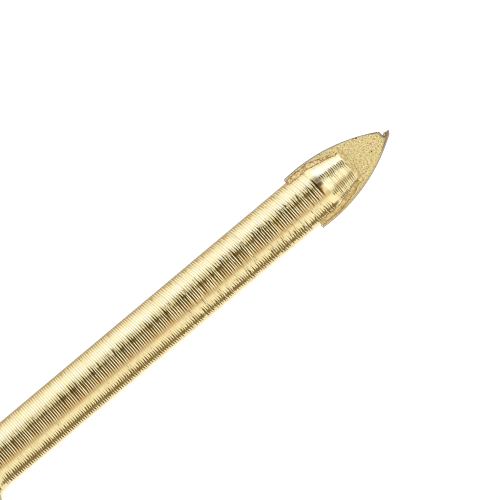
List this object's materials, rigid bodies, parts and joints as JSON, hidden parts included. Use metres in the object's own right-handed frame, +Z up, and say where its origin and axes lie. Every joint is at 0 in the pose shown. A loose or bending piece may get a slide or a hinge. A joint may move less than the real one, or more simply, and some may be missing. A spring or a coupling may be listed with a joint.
{
  "type": "glass and tile drill bit",
  "caption": "Spear-point bit for glass and tile: a curved, relieved carbide plate brazed into a slotted turned steel shaft with a quick-change hexagon shank.",
  "frame": {"origin": "on the resting surface, under the middle of the bit's length, midway across its width", "axes": "+X along the bit's axis toward the point, +Y across the carbide plate, +Z up, square to the plate's faces"},
  "size_m": [0.0825, 0.007, 0.0063],
  "materials": {
    "coated_steel": "satin",
    "coated_carbide": "matte",
    "braze": "satin"
  },
  "bodies": {
    "root": {"shank_body": "coated_steel", "carbide_tip": "coated_carbide", "braze_joint": "braze"}
  },
  "joints": []
}
